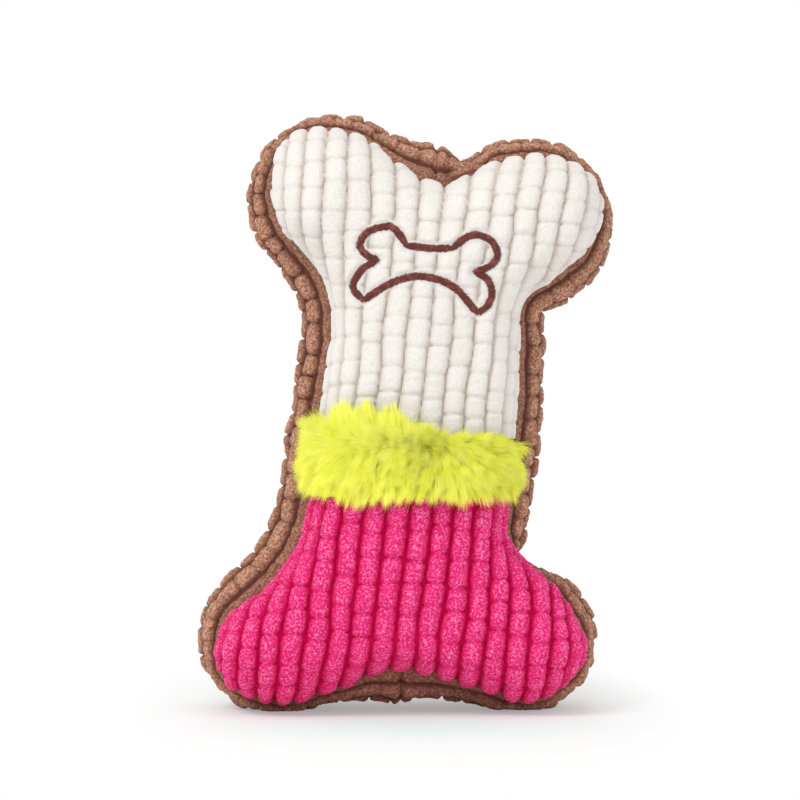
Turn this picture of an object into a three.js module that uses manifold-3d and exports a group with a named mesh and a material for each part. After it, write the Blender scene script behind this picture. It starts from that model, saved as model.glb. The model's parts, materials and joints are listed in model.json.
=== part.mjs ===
import * as THREE from 'three';
import { mergeVertices } from 'three/addons/utils/BufferGeometryUtils.js';
import Module from 'manifold-3d';

const wasm = await Module();
wasm.setup();

// All sizes are in millimetres and all angles in degrees.
// The toy stands on its two lower lobes: x runs to the right, y from the front to the back, z up.

// Bone outline where the toy is widest: four lobes, two slightly bowed sides and the hollows between them.
const upperRightLobe = { x: 42.7, z: 163.3, r: 29 };
const lowerRightLobe = { x: 41.7, z: 23.3, r: 24.8 };
const lowerLeftLobe = { x: -40.8, z: 24.7, r: 26.2 };
const upperLeftLobe = { x: -21.5, z: 171.2, r: 28.8 };
const waistHeight = 97;
const rightSide = { x: 47.9, lean: -4.4, bow: 316 };
const leftSide = { x: -36.5, lean: 8.2, bow: 1100 };
const rightNeckHollow = 3.2;
const rightAnkleHollow = 9.3;
const bottomHollow = 110;
const leftAnkleHollow = 42;
const leftNeckHollow = 28;
const topHollow = 41;

// Cloth, edge strip and stuffed crowns.
const clothThickness = 3;
const gussetDepth = 26;
const gussetBulge = 6;
const crownRun = 16;
const frontCrown = 22;
const backCrown = 19;
const ridgeRise = 3;
const ridgeTopHalf = 10;
const ridgeFootHalf = 34;

// Corded plush: cords run up the toy, with a groove between each two.
const cordPitch = 7.4;
const cordGroove = 3.2;
const cordDepth = 2.2;

// Fur band: its two seams cross the front, the upper one dropping to the right.
const upperSeamHeight = 95;
const upperSeamDrop = 7.5;
const lowerSeamHeight = 74;
const lowerSeamDrop = -0.7;
const furLoft = 4;

// Embroidered bone: four lobes and the hollows between them.
const motifUpperRight = { x: 24.9, z: 153.3, r: 6.8 };
const motifLowerRight = { x: 23.8, z: 141, r: 6.4 };
const motifLowerLeft = { x: -8.9, z: 143.7, r: 6.3 };
const motifUpperLeft = { x: -6.6, z: 156.8, r: 6.5 };
const motifRightHollow = 1.8;
const motifLowerHollow = 11.6;
const motifLeftHollow = 2;
const motifUpperHollow = 17.9;
const satinWidth = 2.5;
const satinHeight = 0.8;
const backingThickness = 0.5;
const backingMargin = 5;

// Stitching.
const threadRadius = 0.5;
const seamEnd = 3;
const closingLength = 48;
const closingPitch = 6;
const closingSwing = 0.8;
const closingMargin = 2;

// Squeaker, its axis from front to back at the height of the fur band.
const squeakerHeight = 88;
const bladderRadius = 21;
const bladderHalfDepth = 10;
const bladderWall = 1;
const neckRadius = 6.6;
const neckBore = 5.2;
const neckLength = 6;
const holderFlange = 1.5;
const holderLength = 9;
const reedWidth = 3.2;
const reedThickness = 0.25;
const reedFree = 6;
const reedSetback = 0.5;
const airGroove = 2;
const facingAngle = 5;

// Clearances, how far a cutting solid reaches past what it cuts, and the fineness of the facets.
const gap = 0.3;
const cutOver = 1;
const outlineStep = 9;
const outlineTurn = 30;
const motifStep = 3;
const roundSides = 24;
const domeRings = 4;
const far = 400;

const frontPlane = -gussetDepth / 2;
const backPlane = gussetDepth / 2;

function radians(degrees) {
  return degrees * Math.PI / 180;
}

// A slightly bowed side is a large circle whose edge passes through x at the waist height.
function sideCircle(side, outward) {
  const lean = radians(side.lean);
  const x = side.x - outward * side.bow * Math.cos(lean);
  const z = waistHeight - side.bow * Math.sin(lean);
  return { x, z, r: side.bow };
}

// Centre of the hollow of radius r that touches circles a and b from outside, left of the way from a to b.
function hollowBetween(a, b, r) {
  const dx = b.x - a.x;
  const dz = b.z - a.z;
  const span = Math.hypot(dx, dz);
  const reachA = a.r + r;
  const reachB = b.r + r;
  const along = (reachA ** 2 - reachB ** 2 + span ** 2) / (2 * span);
  const across = Math.sqrt(reachA ** 2 - along ** 2);
  return { x: a.x + (dx * along - dz * across) / span, z: a.z + (dz * along + dx * across) / span, r };
}

function direction(from, to) {
  return Math.atan2(to.z - from.z, to.x - from.x);
}

// Lobes and hollows in turn, clockwise, as arcs that meet with a common tangent.
// The first half of the first hollow closes the list, so that point 0 lies in the middle of that hollow.
function tangentArcs(lobes, hollowRadii, step) {
  const hollows = lobes.map((lobe, i) => {
    const before = lobes[(i + lobes.length - 1) % lobes.length];
    return hollowBetween(before, lobe, hollowRadii[i]);
  });
  const arcs = [];
  lobes.forEach((lobe, i) => {
    const next = (i + 1) % lobes.length;
    const before = lobes[(i + lobes.length - 1) % lobes.length];
    const enter = direction(hollows[i], before);
    const leave = direction(hollows[i], lobe);
    arcs.push(makeArc(hollows[i], enter, leave, -1, step));
    const start = direction(lobe, hollows[i]);
    const end = direction(lobe, hollows[next]);
    arcs.push(makeArc(lobe, start, end, 1, step));
  });
  return arcs;
}

// sign is 1 for a lobe, which is followed clockwise, and -1 for a hollow.
function makeArc(circle, from, to, sign, step) {
  const turn = 2 * Math.PI;
  const sweep = (((from - to) * sign) % turn + turn) % turn;
  const half = Math.ceil(Math.max(sweep * circle.r / step, sweep / radians(outlineTurn)) / 2);
  return { circle, from, sweep: -sign * sweep, sign, steps: 2 * Math.max(1, half) };
}

// Points of the outline moved outwards by grow.
function outlinePoints(arcs, grow) {
  const points = [];
  arcs.forEach((arc) => {
    const r = arc.circle.r + arc.sign * grow;
    for (let i = 0; i < arc.steps; i += 1) {
      const angle = arc.from + arc.sweep * i / arc.steps;
      points.push(new THREE.Vector2(arc.circle.x + r * Math.cos(angle), arc.circle.z + r * Math.sin(angle)));
    }
  });
  const lead = arcs[0].steps / 2;
  return points.slice(lead).concat(points.slice(0, lead));
}

const rightCircle = sideCircle(rightSide, 1);
const leftCircle = sideCircle(leftSide, -1);
const bodyArcs = tangentArcs(
  [upperRightLobe, rightCircle, lowerRightLobe, lowerLeftLobe, leftCircle, upperLeftLobe],
  [topHollow, rightNeckHollow, rightAnkleHollow, bottomHollow, leftAnkleHollow, leftNeckHollow],
  outlineStep,
);
const bodyHalf = Math.max(...outlinePoints(bodyArcs, 0).map((point) => Math.abs(point.x)));
const motifArcs = tangentArcs(
  [motifUpperRight, motifLowerRight, motifLowerLeft, motifUpperLeft],
  [motifUpperHollow, motifRightHollow, motifLowerHollow, motifLeftHollow],
  motifStep,
);

// Solid booleans.
function toManifold(geometry) {
  const bare = geometry.clone();
  bare.deleteAttribute('normal');
  bare.deleteAttribute('uv');
  const merged = mergeVertices(bare, 1e-4);
  const mesh = new wasm.Mesh({
    numProp: 3,
    vertProperties: new Float32Array(merged.attributes.position.array),
    triVerts: new Uint32Array(merged.index.array),
  });
  mesh.merge();
  return new wasm.Manifold(mesh);
}

function toGeometry(manifold) {
  const mesh = manifold.getMesh();
  const geometry = new THREE.BufferGeometry();
  geometry.setAttribute('position', new THREE.BufferAttribute(new Float32Array(mesh.vertProperties), 3));
  geometry.setIndex(new THREE.BufferAttribute(new Uint32Array(mesh.triVerts), 1));
  return geometry;
}

// Middle of the body at some height, halfway between its sides.
function middleAt(z) {
  const rightSlope = Math.tan(radians(-rightSide.lean));
  const leftSlope = Math.tan(radians(leftSide.lean));
  return (rightSide.x + leftSide.x + (rightSlope + leftSlope) * (z - waistHeight)) / 2;
}

// Closed solid through rings of the body outline, each with a grow and a y, from the front to the back.
function loftRings(rings) {
  const outlines = rings.map((ring) => outlinePoints(bodyArcs, ring.grow));
  const count = outlines[0].length;
  const positions = [];
  outlines.forEach((outline, i) => {
    outline.forEach((point) => positions.push(point.x, rings[i].y, point.y));
  });
  const index = [];
  for (let ring = 0; ring < rings.length - 1; ring += 1) {
    for (let i = 0; i < count; i += 1) {
      const a = ring * count + i;
      const b = ring * count + (i + 1) % count;
      index.push(a, b, a + count, b, b + count, a + count);
    }
  }
  const last = (rings.length - 1) * count;
  THREE.ShapeUtils.triangulateShape(outlines[0], []).forEach(([a, b, c]) => index.push(a, b, c));
  THREE.ShapeUtils.triangulateShape(outlines[rings.length - 1], []).forEach(([a, b, c]) => {
    index.push(last + a, last + c, last + b);
  });
  const geometry = new THREE.BufferGeometry();
  geometry.setAttribute('position', new THREE.Float32BufferAttribute(positions, 3));
  geometry.setIndex(index);
  return toManifold(geometry);
}

// Rings of a stuffed crown from its top down to the seam, a quarter of an ellipse in section.
function crownRings(plane, crown, grow, count) {
  const facing = Math.sign(plane);
  const rings = [];
  for (let i = count; i >= 0; i -= 1) {
    const t = i / count * Math.PI / 2;
    const inset = (crownRun + grow) * (1 - Math.cos(t));
    const rise = (crown + ridgeRise + grow) * Math.sin(t);
    rings.push({ grow: grow - gussetBulge - inset, y: plane + facing * rise });
  }
  return facing < 0 ? rings : rings.reverse();
}

// How far a crown rises towards the middle line of the body, at some distance from that line.
function ridgeAt(x) {
  const share = (ridgeFootHalf - Math.abs(x)) / (ridgeFootHalf - ridgeTopHalf);
  return ridgeRise * THREE.MathUtils.clamp(share, 0, 1);
}

// Everything under a profile of points across the body, carried along its leaning middle line.
// Each point is a distance from the middle line and a height over the seam plane.
function underProfile(plane, profile) {
  const facing = Math.sign(plane);
  const foot = [[far, -far], [-far, -far]];
  const points = [...profile, ...foot].map(([x, height]) => new THREE.Vector2(x, plane + facing * height));
  const options = { depth: 2 * far, bevelEnabled: false };
  const geometry = new THREE.ExtrudeGeometry(new THREE.Shape(points), options);
  const slope = middleAt(1) - middleAt(0);
  geometry.translate(0, 0, -far);
  geometry.applyMatrix4(new THREE.Matrix4().makeShear(0, 0, 0, 0, slope, 0));
  geometry.translate(middleAt(0), 0, 0);
  return toManifold(geometry);
}

function underRidge(plane, height) {
  const stops = [-far, -ridgeFootHalf, -ridgeTopHalf, ridgeTopHalf, ridgeFootHalf, far];
  return underProfile(plane, stops.map((x) => [x, height + ridgeAt(x)]));
}

// The same ridge parted into cords by grooves.
function underCords(plane, height) {
  const count = Math.ceil(bodyHalf / cordPitch);
  const profile = [[-far, height]];
  for (let i = -count; i <= count; i += 1) {
    const x = i * cordPitch;
    const left = x - cordGroove / 2;
    const right = x + cordGroove / 2;
    profile.push([left, height + ridgeAt(left)]);
    profile.push([x, height + ridgeAt(x) - cordDepth]);
    profile.push([right, height + ridgeAt(right)]);
  }
  profile.push([far, height]);
  return underProfile(plane, profile);
}

// A stuffed crown grown by some amount, whose lowest ring stands past its seam plane by a skirt.
function crownDome(plane, crown, grow, skirt) {
  const rings = crownRings(plane, crown, grow, domeRings);
  const facing = Math.sign(plane);
  const rim = facing < 0 ? rings[rings.length - 1] : rings[0];
  rim.y = plane - facing * skirt;
  return loftRings(rings);
}

function crownSolid(plane, crown, grow, skirt) {
  return crownDome(plane, crown, grow, skirt).intersect(underRidge(plane, crown + grow));
}

function cordedCrown(plane, crown) {
  return crownDome(plane, crown, 0, -gap / 2).intersect(underCords(plane, crown));
}

// Solid of a flat shape in x and z, carried along y.
function prism(shape, fromY, toY) {
  const depth = toY - fromY;
  const geometry = new THREE.ExtrudeGeometry(shape, { depth, bevelEnabled: false, curveSegments: 16 });
  geometry.rotateX(Math.PI / 2);
  geometry.translate(0, toY, 0);
  return toManifold(geometry);
}

function polygon(points) {
  return new THREE.Shape(points.map(([x, z]) => new THREE.Vector2(x, z)));
}

function tube(points, radius, closed) {
  const curve = new THREE.CatmullRomCurve3(points, closed, 'centripetal');
  if (closed) {
    return toManifold(new THREE.TubeGeometry(curve, points.length, radius, 5, true));
  }
  const section = new THREE.Shape().absarc(0, 0, radius, 0, 2 * Math.PI);
  const options = { steps: points.length - 1, extrudePath: curve, curveSegments: 2, bevelEnabled: false };
  return toManifold(new THREE.ExtrudeGeometry(section, options));
}

const floor = prism(polygon([[-far, -far], [far, -far], [far, 0], [-far, 0]]), -far, far);

// Height of a seam across the front at some x.
function seamAt(height, drop, x) {
  const middle = (leftSide.x + rightSide.x) / 2;
  return height - drop * (x - middle) / (rightSide.x - leftSide.x);
}

// Everything above a seam that is moved up by shift.
function aboveSeam(height, drop, shift) {
  const left = [-far, seamAt(height, drop, -far) + shift];
  const right = [far, seamAt(height, drop, far) + shift];
  return prism(polygon([left, right, [far, 2 * far], [-far, 2 * far]]), -far, far);
}

function makeFrontPanels() {
  const inside = crownSolid(frontPlane, frontCrown, -clothThickness, cutOver);
  const shell = cordedCrown(frontPlane, frontCrown).subtract(inside);
  const furry = crownSolid(frontPlane, frontCrown, furLoft, -gap / 2).subtract(inside);
  const upper = shell.intersect(aboveSeam(upperSeamHeight, upperSeamDrop, gap / 2));
  const lower = shell.subtract(aboveSeam(lowerSeamHeight, lowerSeamDrop, -gap / 2));
  const band = furry
    .subtract(aboveSeam(upperSeamHeight, upperSeamDrop, -gap / 2))
    .intersect(aboveSeam(lowerSeamHeight, lowerSeamDrop, gap / 2));
  return { upper, band, lower };
}

function makeBackPanel() {
  const inside = crownSolid(backPlane, backCrown, -clothThickness, cutOver);
  return cordedCrown(backPlane, backCrown).subtract(inside);
}

// How far the gusset stands out at y, measured from the widest outline.
function gussetGrow(y) {
  return -gussetBulge * (2 * y / gussetDepth) ** 2;
}

function gussetRings(grow, overrun) {
  const edge = gussetDepth / 2 - gap / 2;
  const stations = 6;
  const rings = [];
  for (let i = 0; i <= stations; i += 1) {
    const y = edge * (2 * i / stations - 1);
    rings.push({ grow: gussetGrow(y) + grow, y });
  }
  rings[0].y -= overrun;
  rings[stations].y += overrun;
  return rings;
}

// The gusset strips meet along a line from the top notch to the bottom notch.
const bottomNotch = bodyArcs.slice(1, 6).reduce((sum, arc) => sum + arc.steps, 0);
const notches = [0, bottomNotch + (bodyArcs[0].steps + bodyArcs[6].steps) / 2];

function notchPoint(which, grow, y) {
  const point = outlinePoints(bodyArcs, grow)[notches[which]];
  return new THREE.Vector3(point.x, y, point.y);
}

function makeGussets() {
  const hollow = loftRings(gussetRings(-clothThickness, cutOver));
  const ring = loftRings(gussetRings(0, 0)).subtract(hollow).subtract(floor);
  const top = notchPoint(0, 0, 0);
  const bottom = notchPoint(1, 0, 0);
  const side = (sign) => prism(
    polygon([
      [bottom.x + sign * gap / 2, -far],
      [bottom.x + sign * gap / 2, bottom.z + far / 10],
      [top.x + sign * gap / 2, top.z - far / 10],
      [top.x + sign * gap / 2, far],
      [sign * far, far],
      [sign * far, -far],
    ]),
    -far,
    far,
  );
  return { left: ring.intersect(side(-1)), right: ring.intersect(side(1)) };
}

// The satin stitch is a ridge along the motif's outline that lies on the white panel.
function makeEmbroidery() {
  const ridge = crownSolid(frontPlane, frontCrown, gap / 2 + satinHeight, 0);
  const cloth = crownSolid(frontPlane, frontCrown, gap / 2, cutOver);
  const shape = new THREE.Shape(outlinePoints(motifArcs, satinWidth / 2));
  shape.holes.push(new THREE.Path(outlinePoints(motifArcs, -satinWidth / 2).reverse()));
  return prism(shape, -far, frontPlane).intersect(ridge).subtract(cloth);
}

// A cut rectangle of backing lies behind the embroidery, on the inside of the white panel.
function makeBacking(swell) {
  const nearCloth = crownSolid(frontPlane, frontCrown, swell - clothThickness - gap / 2, 0);
  const fillDepth = clothThickness + gap / 2 + backingThickness + swell;
  const nearFill = crownSolid(frontPlane, frontCrown, -fillDepth, cutOver);
  const motif = new THREE.Box2().setFromPoints(outlinePoints(motifArcs, backingMargin + swell));
  const { min, max } = motif;
  const patch = polygon([[min.x, min.y], [max.x, min.y], [max.x, max.y], [min.x, max.y]]);
  return prism(patch, -far, frontPlane).intersect(nearCloth).subtract(nearFill);
}

// Stitching runs inside the toy, against the inner face of the cloth.
const threadInset = clothThickness + gap + threadRadius;

function edgeThreadPoints(plane) {
  const points = outlinePoints(bodyArcs, -gussetBulge - threadInset);
  return points.map((point) => new THREE.Vector3(point.x, plane, point.y));
}

// A cord of stitching, square in section, between two depths inside the cloth.
function bandThread(height, drop, swell) {
  const outside = crownSolid(frontPlane, frontCrown, swell - clothThickness - gap, 0);
  const insideDepth = clothThickness + gap + 2 * threadRadius + swell;
  const inside = crownSolid(frontPlane, frontCrown, -insideDepth, cutOver);
  const ahead = polygon([[-far, 0], [far, 0], [far, far], [-far, far]]);
  const slab = aboveSeam(height, drop, -threadRadius - swell)
    .subtract(aboveSeam(height, drop, threadRadius + swell))
    .intersect(prism(ahead, -far, frontPlane - seamEnd + swell));
  return outside.subtract(inside).intersect(slab);
}

function gussetThread(which, swell) {
  const { x, z } = notchPoint(which, 0, 0);
  const half = threadRadius + swell;
  const depth = gussetDepth / 2 - seamEnd + swell;
  const reach = crownRun;
  const low = z - reach;
  const high = z + reach;
  const box = polygon([[x - half, low], [x + half, low], [x + half, high], [x - half, high]]);
  const outside = loftRings(gussetRings(swell - clothThickness - gap, 0));
  const inside = loftRings(gussetRings(-clothThickness - gap - 2 * threadRadius - swell, cutOver));
  return outside.subtract(inside).intersect(prism(box, -depth, depth));
}

// The stuffing opening lies on the straight right side of the back edge and is closed with ladder stitches.
function closingStretch() {
  const points = edgeThreadPoints(backPlane);
  const middle = waistHeight;
  const inStretch = (point) => point.x > 0 && Math.abs(point.z - middle) < closingLength / 2;
  const first = points.findIndex(inStretch);
  const beyond = points.findIndex((point, i) => i > first && !inStretch(point));
  return { points, first, beyond };
}

function backEdgeThread(radius) {
  const { points, first, beyond } = closingStretch();
  return tube([...points.slice(beyond), ...points.slice(0, first)], radius, false);
}

function closingThread(radius) {
  const inset = rightCircle.r - gussetBulge - threadInset;
  const reach = (closingLength / 2 - closingMargin) / rightCircle.r;
  const middle = Math.asin((waistHeight - rightCircle.z) / rightCircle.r);
  const count = 2 * Math.round(closingLength / closingPitch);
  const points = [];
  for (let i = 0; i <= count; i += 1) {
    const angle = middle + reach * (2 * i / count - 1);
    const swing = i % 4 < 2 ? closingSwing : -closingSwing;
    const x = rightCircle.x + inset * Math.cos(angle);
    const z = rightCircle.z + inset * Math.sin(angle);
    points.push(new THREE.Vector3(x, backPlane + swing, z));
  }
  return tube(points, radius, false);
}

const squeakerX = (leftSide.x + rightSide.x) / 2;

function placeSqueaker(geometry) {
  geometry.translate(squeakerX, 0, squeakerHeight);
  return toManifold(geometry);
}

// Quarter points of the bladder's rounded side, from its front pole to the neck.
function bladderProfile(radius, halfDepth, neck) {
  const points = [];
  const last = Math.PI - Math.asin(neck / radius);
  const count = 9;
  for (let i = 0; i <= count; i += 1) {
    const angle = last * i / count;
    points.push(new THREE.Vector2(radius * Math.sin(angle), -halfDepth * Math.cos(angle)));
  }
  points[0].x = 0;
  return points;
}

const neckEnd = bladderHalfDepth + neckLength;

function makeBladder() {
  const outer = bladderProfile(bladderRadius, bladderHalfDepth, neckRadius);
  const inner = bladderProfile(bladderRadius - bladderWall, bladderHalfDepth - bladderWall, neckBore);
  outer.push(new THREE.Vector2(neckRadius, neckEnd), new THREE.Vector2(neckBore, neckEnd));
  return placeSqueaker(new THREE.LatheGeometry([...outer, ...inner.reverse()], roundSides));
}

// Room for the squeaker in the fill, its neck and holder included.
function squeakerRoom() {
  const points = bladderProfile(bladderRadius + gap, bladderHalfDepth + gap, neckRadius + gap);
  const end = neckEnd + holderFlange + 3 * gap;
  points.push(new THREE.Vector2(neckRadius + gap, end), new THREE.Vector2(0, end));
  return placeSqueaker(new THREE.LatheGeometry(points, roundSides));
}

// The reed lies in the plane x = squeakerX, its tip towards the bladder.
const holderEnd = neckEnd + gap;
const clampFront = holderEnd - holderLength + reedFree;
const reedTip = clampFront - reedFree + reedSetback;
const reedTail = holderEnd + holderFlange - gap;

function halfDisc(radius, sign, offset) {
  const start = Math.acos(offset / radius);
  const shape = new THREE.Shape();
  const turned = sign < 0 ? Math.PI : 0;
  shape.absarc(squeakerX, squeakerHeight, radius, turned - start, turned + start);
  return shape;
}

function boxAt(x0, x1, y0, y1, halfHeight) {
  const z0 = squeakerHeight - halfHeight;
  const z1 = squeakerHeight + halfHeight;
  return prism(polygon([[x0, z0], [x1, z0], [x1, z1], [x0, z1]]), y0, y1);
}

function makeReedHolder() {
  const plugRadius = neckBore - gap;
  const disc = new THREE.CylinderGeometry(neckRadius, neckRadius, holderFlange, roundSides);
  disc.translate(0, holderEnd + holderFlange / 2, 0);
  const flange = placeSqueaker(disc);
  const plug = prism(halfDisc(plugRadius, -1, 0), holderEnd - holderLength, holderEnd + holderFlange);
  const groove = boxAt(squeakerX - airGroove, squeakerX + airGroove, -far, far, airGroove / 2);
  const clampSeat = prism(halfDisc(plugRadius + gap, 1, 0), holderEnd - gap, far);
  const facing = new THREE.BoxGeometry(far, far, far);
  facing.translate(far / 2, -far / 2, 0);
  facing.rotateZ(radians(-facingAngle));
  facing.translate(0, clampFront, 0);
  return flange.subtract(clampSeat).add(plug).subtract(groove).subtract(placeSqueaker(facing));
}

function makeReed() {
  const x = squeakerX + gap;
  return boxAt(x, x + reedThickness, reedTip, reedTail, reedWidth / 2);
}

function makeReedClamp() {
  const offset = 2 * gap + reedThickness;
  return prism(halfDisc(neckBore - gap, 1, offset), clampFront, reedTail);
}

// Fill pressed against the cloth, with room for the stitching, the backing and the squeaker.
function makeFill(plane, crown, cuts) {
  const facing = Math.sign(plane);
  const slack = clothThickness + gap;
  const rings = crownRings(plane, crown, -slack, domeRings);
  const seam = rings.find((ring) => ring.y === plane);
  seam.grow -= 2 * (threadRadius + gap) + closingSwing;
  const belly = [plane / 2, facing * gap / 2].map((y) => ({ grow: gussetGrow(y) - slack, y }));
  const all = facing < 0 ? [...rings, ...belly] : [...belly.reverse(), ...rings];
  const whole = loftRings(all).intersect(underRidge(plane, crown - slack));
  return cuts.reduce((solid, cut) => solid.subtract(cut), whole);
}

const front = makeFrontPanels();
const gussets = makeGussets();
const backCuts = [gussetThread(0, gap), gussetThread(1, gap), squeakerRoom()];
const frontCuts = [
  ...backCuts,
  bandThread(upperSeamHeight, upperSeamDrop, gap),
  bandThread(lowerSeamHeight, lowerSeamDrop, gap),
  makeBacking(gap),
];

const whitePlush = { color: 0xece7e2, roughness: 0.95, metalness: 0 };
const limeFur = { color: 0xe2ec3e, roughness: 0.9, metalness: 0 };
const pinkPlush = { color: 0xf03e8a, roughness: 0.95, metalness: 0 };
const brownPlush = { color: 0x8c5f48, roughness: 0.95, metalness: 0 };
const redThread = { color: 0x7a342a, roughness: 0.6, metalness: 0 };
const sewingThread = { color: 0x6b4638, roughness: 0.8, metalness: 0 };
const nonWoven = { color: 0xf2f1ee, roughness: 1, metalness: 0 };
const fibreFill = { color: 0xf7f7f5, roughness: 1, metalness: 0 };
const softPlastic = { color: 0xe9ebe6, roughness: 0.45, metalness: 0 };
const stiffPlastic = { color: 0xd9dbd6, roughness: 0.4, metalness: 0 };
const reedFilm = { color: 0xc9b27a, roughness: 0.35, metalness: 0 };

const pieces = [
  ['front_upper_panel', front.upper, whitePlush],
  ['front_waist_band', front.band, limeFur],
  ['front_lower_panel', front.lower, pinkPlush],
  ['left_gusset', gussets.left, brownPlush],
  ['right_gusset', gussets.right, brownPlush],
  ['back_panel', makeBackPanel(), brownPlush],
  ['bone_embroidery', makeEmbroidery(), redThread],
  ['embroidery_backing', makeBacking(0), nonWoven],
  ['upper_band_seam', bandThread(upperSeamHeight, upperSeamDrop, 0), sewingThread],
  ['lower_band_seam', bandThread(lowerSeamHeight, lowerSeamDrop, 0), sewingThread],
  ['front_edge_seam', tube(edgeThreadPoints(frontPlane), threadRadius, true), sewingThread],
  ['back_edge_seam', backEdgeThread(threadRadius), sewingThread],
  ['top_gusset_seam', gussetThread(0, 0), sewingThread],
  ['bottom_gusset_seam', gussetThread(1, 0), sewingThread],
  ['closing_stitches', closingThread(threadRadius), sewingThread],
  ['front_fill', makeFill(frontPlane, frontCrown, frontCuts), fibreFill],
  ['back_fill', makeFill(backPlane, backCrown, backCuts), fibreFill],
  ['squeaker_bladder', makeBladder(), softPlastic],
  ['squeaker_reed_holder', makeReedHolder(), stiffPlastic],
  ['squeaker_reed', makeReed(), reedFilm],
  ['squeaker_reed_clamp', makeReedClamp(), stiffPlastic],
];

const toy = new THREE.Group();
toy.name = 'bone_squeaky_toy';
pieces.forEach(([name, solid, look]) => {
  const mesh = new THREE.Mesh(toGeometry(solid), new THREE.MeshStandardMaterial(look));
  mesh.name = name;
  toy.add(mesh);
});

// The origin lies under the middle of the toy, on the floor.
const box = new THREE.Box3().setFromObject(toy);
const centre = box.getCenter(new THREE.Vector3());
toy.children.forEach((mesh) => mesh.geometry.translate(-centre.x, -centre.y, -box.min.z));

export default toy;
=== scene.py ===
import json
import math

import bpy
import numpy as np
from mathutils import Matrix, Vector, kdtree

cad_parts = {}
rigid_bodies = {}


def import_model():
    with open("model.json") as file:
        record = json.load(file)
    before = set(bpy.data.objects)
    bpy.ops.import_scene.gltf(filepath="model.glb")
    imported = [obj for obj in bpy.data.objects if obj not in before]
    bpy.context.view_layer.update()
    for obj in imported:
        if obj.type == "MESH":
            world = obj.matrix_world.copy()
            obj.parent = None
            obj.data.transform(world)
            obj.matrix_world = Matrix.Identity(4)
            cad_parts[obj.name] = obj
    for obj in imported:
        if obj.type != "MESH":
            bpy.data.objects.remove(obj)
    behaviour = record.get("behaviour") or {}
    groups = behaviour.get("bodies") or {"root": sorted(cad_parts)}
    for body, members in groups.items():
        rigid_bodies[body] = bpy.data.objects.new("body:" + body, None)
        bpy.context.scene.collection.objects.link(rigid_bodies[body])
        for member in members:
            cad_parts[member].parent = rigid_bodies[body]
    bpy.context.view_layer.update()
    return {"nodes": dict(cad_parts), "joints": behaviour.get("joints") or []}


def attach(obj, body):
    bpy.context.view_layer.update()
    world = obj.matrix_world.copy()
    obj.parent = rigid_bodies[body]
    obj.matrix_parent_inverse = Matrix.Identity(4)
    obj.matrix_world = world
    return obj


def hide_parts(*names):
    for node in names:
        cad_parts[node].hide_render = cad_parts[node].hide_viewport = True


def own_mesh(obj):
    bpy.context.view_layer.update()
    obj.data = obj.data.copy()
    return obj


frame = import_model()
mm = 0.001
print("frame loaded:", len(frame["nodes"]), "nodes")


# The bone outline of the body, repeated from the part in mm: round lobes, bowed sides and the hollows between
bone = {
    "waist": 97.0,
    "neck": 125.0,
    "upperRight": (42.7, 163.3, 29.0),
    "rightSide": {"x": 47.9, "lean": -4.4, "bow": 316.0, "outward": 1},
    "lowerRight": (41.7, 23.3, 24.8),
    "lowerLeft": (-40.8, 24.7, 26.2),
    "leftSide": {"x": -36.5, "lean": 8.2, "bow": 1100.0, "outward": -1},
    "upperLeft": (-21.5, 171.2, 28.8),
    "hollows": (41.0, 3.2, 9.3, 110.0, 42.0, 28.0),  # top, right neck, right ankle, bottom, left ankle, left neck
    "gussetDepth": 26.0,
    "gussetBulge": 6.0,
    "crownRun": 16.0,
    "frontCrown": 22.0,
    "backCrown": 19.0,
    "ridgeRise": 3.0,
    "furLoft": 4.0,
}


def sideCircle(side):
    lean = math.radians(side["lean"])
    x = side["x"] - side["outward"] * side["bow"] * math.cos(lean)
    return x, bone["waist"] - side["bow"] * math.sin(lean), side["bow"]


def hollowBetween(a, b, r):
    dx, dz = b[0] - a[0], b[1] - a[1]
    span = math.hypot(dx, dz)
    along = ((a[2] + r) ** 2 - (b[2] + r) ** 2 + span ** 2) / (2 * span)
    across = math.sqrt((a[2] + r) ** 2 - along ** 2)
    return a[0] + (dx * along - dz * across) / span, a[1] + (dz * along + dx * across) / span, r


def heading(a, b):
    return math.atan2(b[1] - a[1], b[0] - a[0])


# Clockwise arcs that meet with a common tangent: hollow, lobe, hollow, lobe and so on
def boneArcs():
    lobes = [bone["upperRight"], sideCircle(bone["rightSide"]), bone["lowerRight"],
             bone["lowerLeft"], sideCircle(bone["leftSide"]), bone["upperLeft"]]
    dents = [hollowBetween(lobes[i - 1], lobes[i], r) for i, r in enumerate(bone["hollows"])]
    arcs = []
    run = 0.0
    for i, lobe in enumerate(lobes):
        follow = dents[(i + 1) % len(lobes)]
        for circle, start, stop, sign in (
            (dents[i], heading(dents[i], lobes[i - 1]), heading(dents[i], lobe), -1),
            (lobe, heading(lobe, dents[i]), heading(lobe, follow), 1),
        ):
            sweep = ((start - stop) * sign) % (2 * math.pi)
            arcs.append({"circle": circle, "start": start, "sweep": sweep, "sign": sign, "run": run})
            run += sweep * circle[2]
    return arcs, run


arcs, perimeter = boneArcs()
centreX = (bone["upperRight"][0] + bone["upperRight"][2] + bone["lowerLeft"][0] - bone["lowerLeft"][2]) / 2
frontReach = bone["gussetDepth"] / 2 + bone["frontCrown"] + bone["ridgeRise"] + bone["furLoft"]
backReach = bone["gussetDepth"] / 2 + bone["backCrown"] + bone["ridgeRise"]
middleY = (frontReach - backReach) / 2
frontSeam = middleY - bone["gussetDepth"] / 2
backSeam = middleY + bone["gussetDepth"] / 2
print("outline length", round(perimeter), "mm")


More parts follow.
